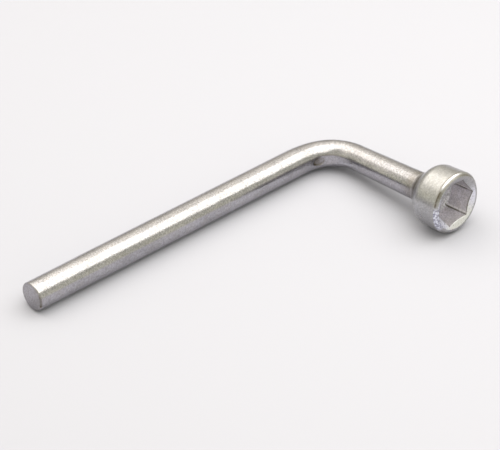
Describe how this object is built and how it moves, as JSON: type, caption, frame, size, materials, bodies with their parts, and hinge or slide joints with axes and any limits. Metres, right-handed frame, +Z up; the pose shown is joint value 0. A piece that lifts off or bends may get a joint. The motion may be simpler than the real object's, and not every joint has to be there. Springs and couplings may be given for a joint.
{
  "type": "radiator bleed key",
  "caption": "L-shaped steel key for radiator bleed and vent fittings: a bent round bar with a hexagon socket head on its short arm.",
  "frame": {"origin": "bottom centre of the key's box, on the surface that the key lies on", "axes": "+X from the handle bar's free end towards the bend, -Y from the bend towards the socket mouth, +Z up; the short arm rises about 6 degrees towards the mouth because the key rests on the long arm and on the head's rear shoulder"},
  "size_m": [0.1272, 0.0584, 0.0199],
  "materials": {
    "bar_plating": "satin plated steel",
    "head_plating": "satin plated steel",
    "braze_plating": "satin plated braze metal"
  },
  "bodies": {
    "root": {"handle_bar": "bar_plating", "socket_head": "head_plating", "neck_braze": "braze_plating"}
  },
  "joints": []
}
